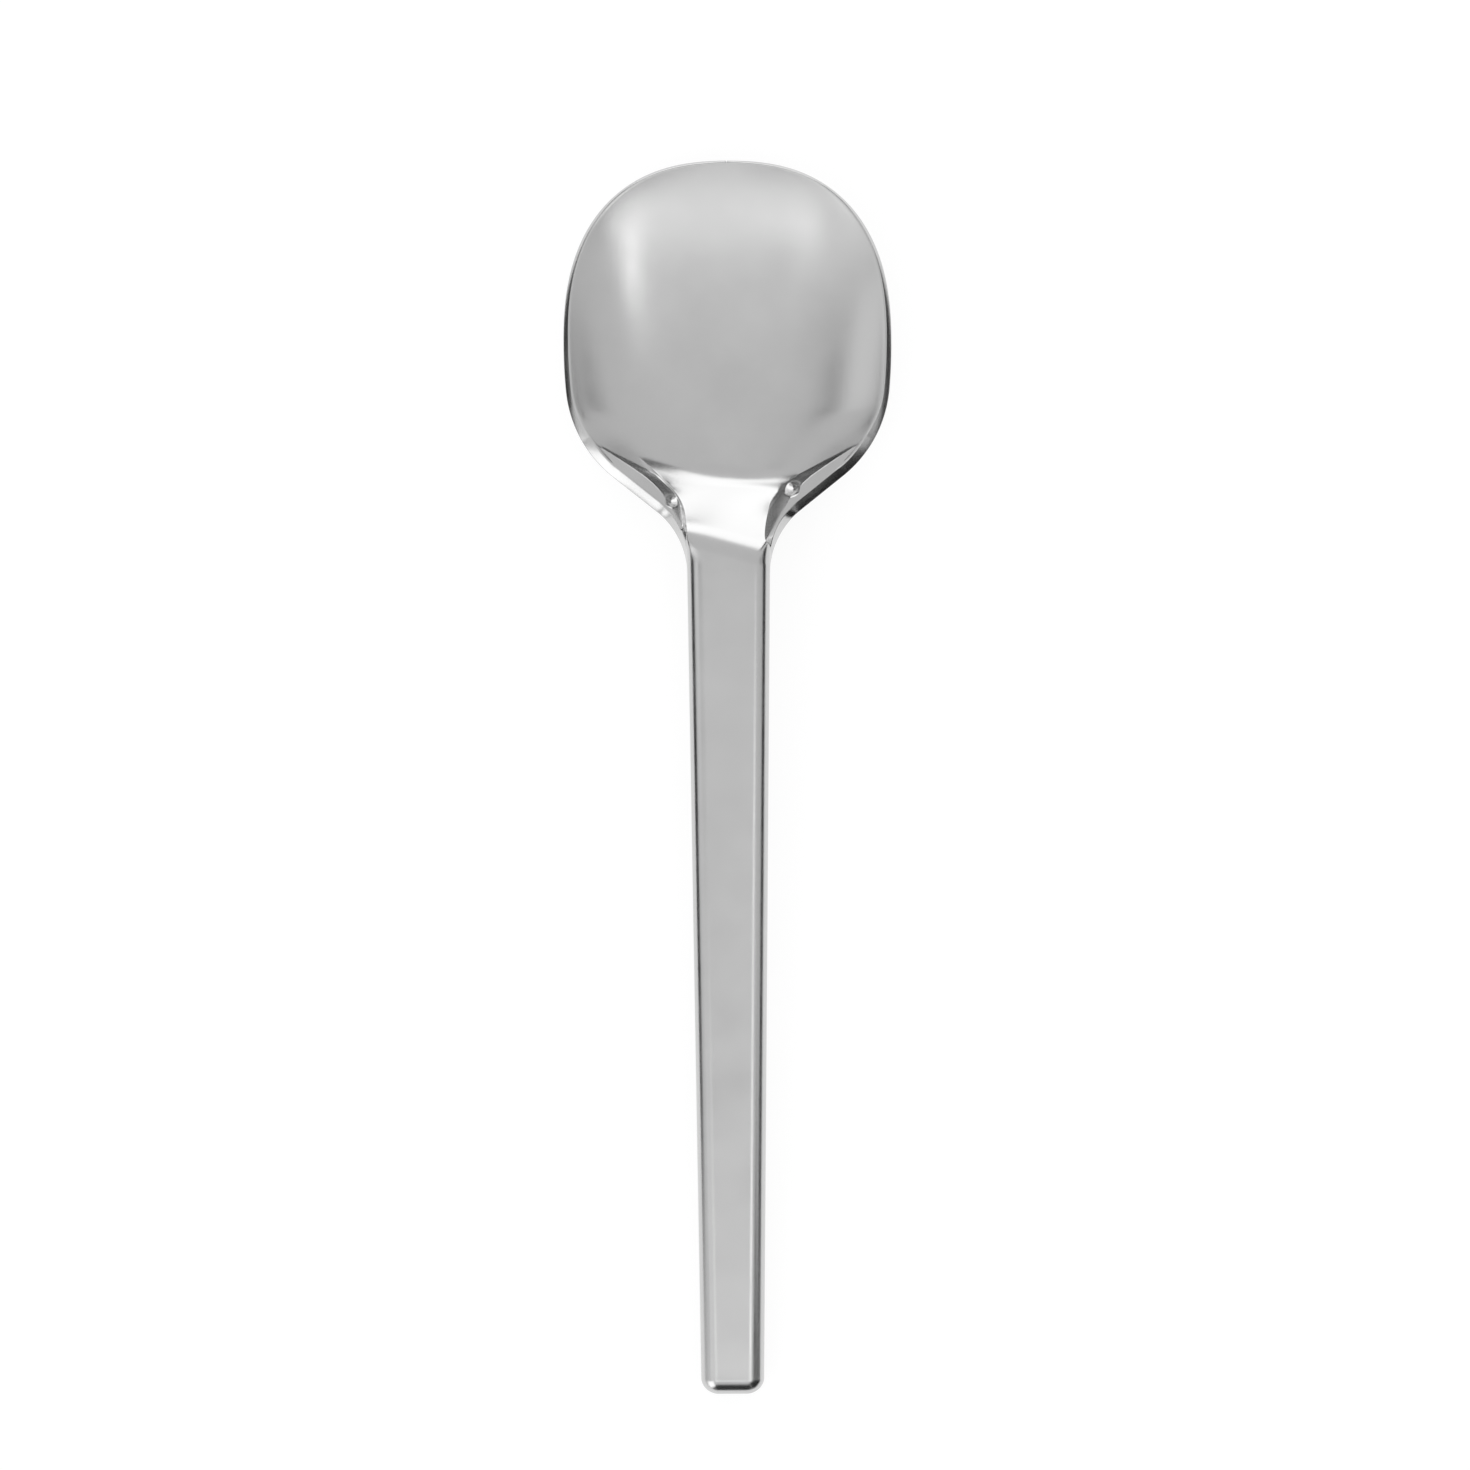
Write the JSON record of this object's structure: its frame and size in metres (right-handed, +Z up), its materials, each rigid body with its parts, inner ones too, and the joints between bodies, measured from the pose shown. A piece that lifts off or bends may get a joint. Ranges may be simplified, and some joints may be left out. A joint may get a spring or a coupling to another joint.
{
  "type": "espresso spoon",
  "caption": "Small stainless spoon in one piece: a shallow round-tipped bowl, a ramped neck between two steep flanks, and a plain tapering bar handle.",
  "frame": {"origin": "centre of the bounding box's underside, on the plane that the spoon lies on", "axes": "+Y along the spoon towards the bowl's tip, +Z up out of the bowl's hollow, X across the spoon"},
  "size_m": [0.0292, 0.11, 0.0061],
  "materials": {
    "stainless": "fine satin stainless steel with smoothed edges"
  },
  "bodies": {
    "root": {"spoon": "stainless"}
  },
  "joints": []
}
